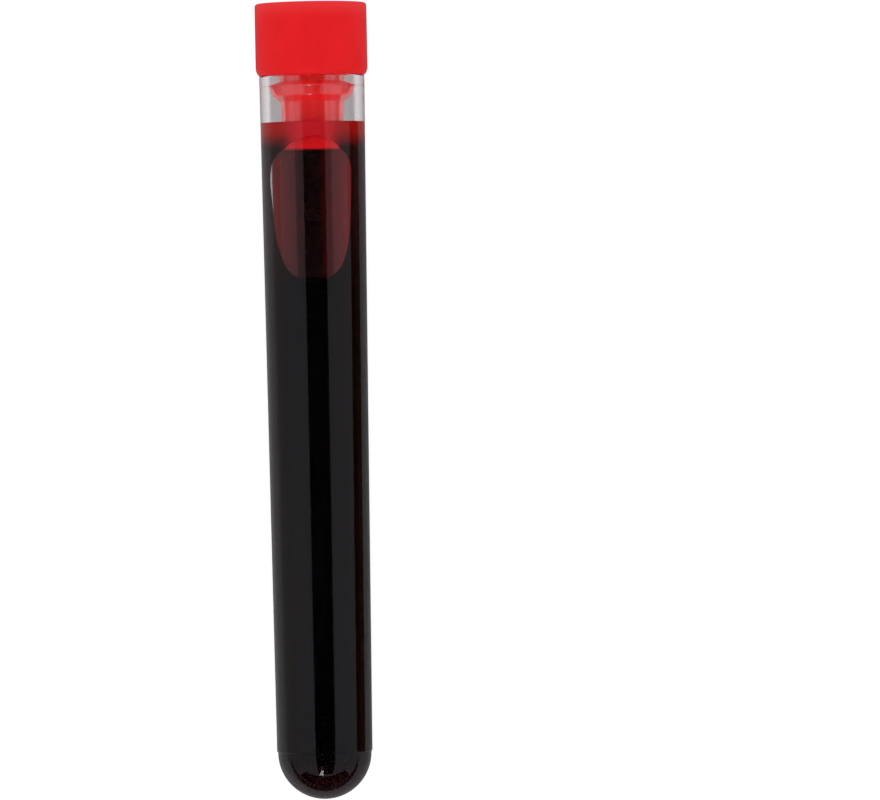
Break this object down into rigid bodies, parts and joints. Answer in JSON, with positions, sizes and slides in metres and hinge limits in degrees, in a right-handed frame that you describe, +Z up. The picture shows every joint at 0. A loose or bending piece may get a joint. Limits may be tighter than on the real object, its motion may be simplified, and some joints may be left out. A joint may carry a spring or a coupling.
{
  "type": "blood collection tube",
  "caption": "Round-bottom clear plastic blood collection tube, filled with blood and closed by a red push-in cap with a sealing ring.",
  "frame": {"origin": "on the surface that the tube lies on, under the middle of its length", "axes": "+Y along the tube towards the cap, +Z up, +X to the right seen from above with the cap away from the viewer; the tube's axis rises 0.69 degrees towards the cap, as it does at rest"},
  "size_m": [0.0132, 0.0946, 0.0134],
  "materials": {
    "clear_wall": "clear moulded polystyrene, glossy",
    "red_cap": "red moulded polyethylene, satin",
    "blood": "dark red liquid, wet gloss"
  },
  "bodies": {
    "tube": {"tube_body": "clear_wall", "blood_sample": "blood"},
    "cap": {"push_cap": "red_cap"}
  },
  "joints": [
    {"name": "cap_pull", "type": "slide", "parent": "tube", "child": "cap", "axis": [0, 0.9999, 0.012], "range_m": [0, 0.015]}
  ]
}
